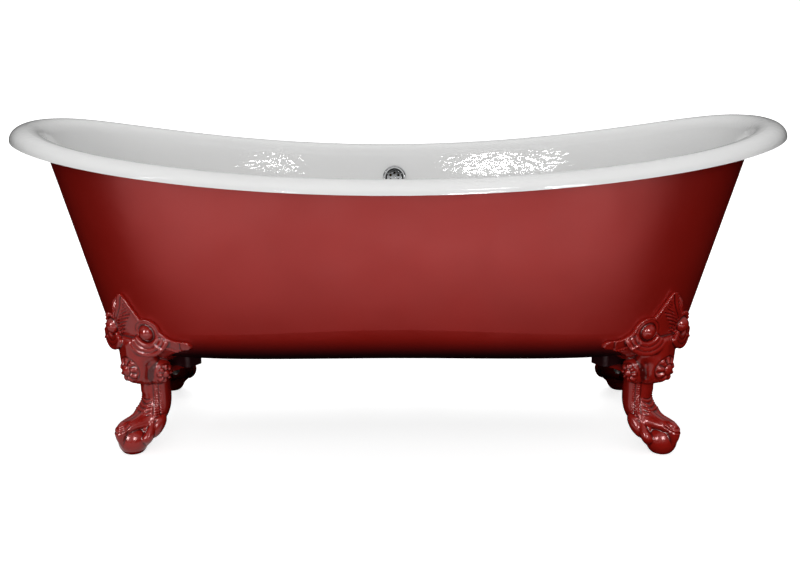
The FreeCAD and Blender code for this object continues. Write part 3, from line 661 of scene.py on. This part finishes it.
# The room: white where the camera looks, and for the bath dim white above and dark below.
world = bpy.data.worlds.new("studio")
world.use_nodes = True
room = world.node_tree
dim = room.nodes["Background"]
dim.inputs["Color"].default_value = white
bright = room.nodes.new("ShaderNodeBackground")
bright.inputs["Color"].default_value = white
bright.inputs["Strength"].default_value = 1.1
way = room.nodes.new("ShaderNodeTexCoord")
parts = room.nodes.new("ShaderNodeSeparateXYZ")
fade = ramp(room, parts.outputs["Z"], low=0.1, high=0.7, end=0.62)
path = room.nodes.new("ShaderNodeLightPath")
choose = room.nodes.new("ShaderNodeMixShader")
by_camera, for_bath, for_camera = choose.inputs
join(room,
     (way.outputs["Generated"], parts.inputs["Vector"]),
     (fade.outputs["Result"], dim.inputs["Strength"]),
     (path.outputs["Is Camera Ray"], by_camera),
     (dim.outputs["Background"], for_bath),
     (bright.outputs["Background"], for_camera),
     (choose.outputs["Shader"], room.nodes["World Output"].inputs["Surface"]))
bpy.context.scene.world = world


def lit_group(name, pieces):
    """Collection of the pieces that a light falls on."""
    group = bpy.data.collections.new(name)
    for piece in pieces:
        group.objects.link(piece)
    return group


lining = nodes["enamel_lining"]
metal_names = ("overflow_elbow", "overflow_pipe", "overflow_pipe_nuts", "waste_tee",
               "foot_studs", "foot_washers", "foot_nuts")
front_feet = claw_feet[:2]
enamel_alone = lit_group("enamel_alone", [lining])
feet_alone = lit_group("feet_alone", front_feet)
metal_alone = lit_group("metal_alone", [nodes[name] for name in metal_names])
all_but_rear_feet = lit_group("all_but_rear_feet", [*nodes.values(), rose_piece, floor, *front_feet])
not_enamel = [piece for piece in (*nodes.values(), rose_piece, *claw_feet) if piece is not lining]
all_but_floor_and_enamel = lit_group("all_but_floor_and_enamel", not_enamel)


def soft_box(name, where, target, width, depth, radiance, roll=0.0, lights=None):
    """Rectangular studio light, evenly bright over its face, which glossy pieces don't mirror."""
    light = bpy.data.lights.new(name, "AREA")
    light.shape = "RECTANGLE"
    light.size = width
    light.size_y = depth
    light.energy = radiance * math.pi * width * depth
    lamp = bpy.data.objects.new(name, light)
    lamp.location = where
    aim = (Vector(target) - Vector(where)).to_track_quat("-Z", "Y")
    lamp.rotation_euler = (aim @ Quaternion((0.0, 0.0, 1.0), math.radians(roll))).to_euler()
    lamp.visible_camera = False
    lamp.visible_glossy = False
    if lights:
        lamp.light_linking.receiver_collection = lights
    bpy.context.scene.collection.objects.link(lamp)
    return lamp


def glint_pane(name, where, target, width, depth, radiance, roll=0.0, lights=None, beam=180.0):
    """White pane that shows only as sheen and glints, within a beam of so many degrees."""
    pane = soft_box(name, where, target, width, depth, radiance, roll, lights)
    pane.data.spread = math.radians(beam)
    pane.visible_glossy = True
    pane.visible_diffuse = False


def floor_card(name, x, y, z, width, depth, radiance, lights=None):
    """White card that lies flat and faces up."""
    glint_pane(name, (x, y, z), (x, y, 1.0), width, depth, radiance, lights=lights)


soft_box("front_light", (-0.3, -4.0, 1.2), (0.0, -0.3, 0.45),
         width=3.0, depth=1.2, radiance=5.7, lights=all_but_rear_feet)
soft_box("back_light", (0.0, 2.4, 2.8), (0.0, 0.0, 0.5),
         width=3.4, depth=1.2, radiance=3.5)
soft_box("rim_light", (-0.1, -4.0, 0.45), (0.0, -0.3, 0.55),
         width=4.0, depth=0.8, radiance=4.0, lights=enamel_alone)
soft_box("rear_light", (0.3, 4.0, 1.2), (0.0, 0.3, 0.45),
         width=3.0, depth=1.2, radiance=3.0, lights=all_but_floor_and_enamel)

# Cards before the bath for the sheen low on its side, and panes for the streaks in the far wall's enamel.
floor_card("near_card", -0.2, -1.15, 0.02, width=2.6, depth=0.5, radiance=1.1)
floor_card("middle_card", -0.2, -1.60, 0.02, width=3.6, depth=0.4, radiance=4.5)
floor_card("far_card", -0.2, -2.10, 0.02, width=3.6, depth=0.6, radiance=0.8)
glint_pane("wall_pane_right", (0.36, -2.70, 0.94), (0.3, 0.3, 0.6),
           width=0.30, depth=0.08, radiance=1.6, roll=34.0, beam=40.0)
glint_pane("wall_pane_left", (-0.44, -2.70, 0.965), (-0.4, 0.3, 0.6),
           width=0.05, depth=0.05, radiance=1.6, beam=40.0)

# Panes for the thin glints along the rolled rim.
on_rim = {"lights": enamel_alone, "beam": 30.0}
glint_pane("rim_pane_upper", (0.40, -2.70, 1.80), (0.3, 0.0, 0.6),
           width=0.37, depth=0.12, radiance=0.38, roll=-58.0, **on_rim)
glint_pane("rim_pane_lower", (0.86, -2.70, 1.07), (0.3, 0.0, 0.6),
           width=0.45, depth=0.12, radiance=0.38, roll=-58.0, **on_rim)
glint_pane("rim_pane_left", (-1.48, -2.70, 1.50), (-0.4, 0.0, 0.6),
           width=1.2, depth=0.08, radiance=0.25, roll=68.0, **on_rim)

# Panes for the lights on the balls and the carving of the front feet, and a card for their sheen.
glint_pane("foot_pane_right", (0.62, -2.70, 1.75), (0.0, -0.3, 0.2),
           width=0.8, depth=0.9, radiance=27.0, lights=feet_alone)
glint_pane("foot_pane_left", (-1.90, -2.20, 1.50), (-0.6, -0.3, 0.2),
           width=0.8, depth=0.9, radiance=27.0, lights=feet_alone)
floor_card("foot_card", -0.9, -1.60, 0.01, width=2.6, depth=2.8, radiance=0.8, lights=feet_alone)

# Behind the bath, a card and two panes that the pipe and the brass mirror.
floor_card("metal_card", 0.0, 2.3, 0.01, width=6.0, depth=3.6, radiance=0.8, lights=metal_alone)
glint_pane("metal_pane_left", (-2.6, 3.0, 1.0), (0.0, 0.4, 0.4),
           width=2.8, depth=2.4, radiance=1.0, lights=metal_alone)
glint_pane("metal_pane_right", (1.6, 3.0, 1.0), (0.0, 0.4, 0.4),
           width=2.8, depth=2.4, radiance=0.8, lights=metal_alone)


# The camera stands before the bath at about waist height, a little above the rim, and looks slightly down.
# Its lens, turn and small sideways shift are fitted to the photograph, which was cropped off centre.
eye_place = (-0.0173, -2.49994, 0.9584)
eye_yaw = math.radians(0.963)
eye_pitch = math.radians(13.493)
eye_roll = math.radians(-0.401)
focal_pixels = 1020.8
picture_width = 800
picture_middle = 371.8
lens = bpy.data.cameras.new("photo_camera")
lens.sensor_width = 36.0
lens.lens = focal_pixels * lens.sensor_width / picture_width
lens.shift_x = (picture_width / 2 - picture_middle) / picture_width
lens.clip_end = 50.0
camera = bpy.data.objects.new("photo_camera", lens)
camera.location = eye_place
eye_turn = Matrix.Rotation(eye_yaw, 3, "Z") @ Matrix.Rotation(math.pi / 2 - eye_pitch, 3, "X")
camera.rotation_euler = (eye_turn @ Matrix.Rotation(eye_roll, 3, "Z")).to_euler()
bpy.context.scene.collection.objects.link(camera)
bpy.context.scene.camera = camera
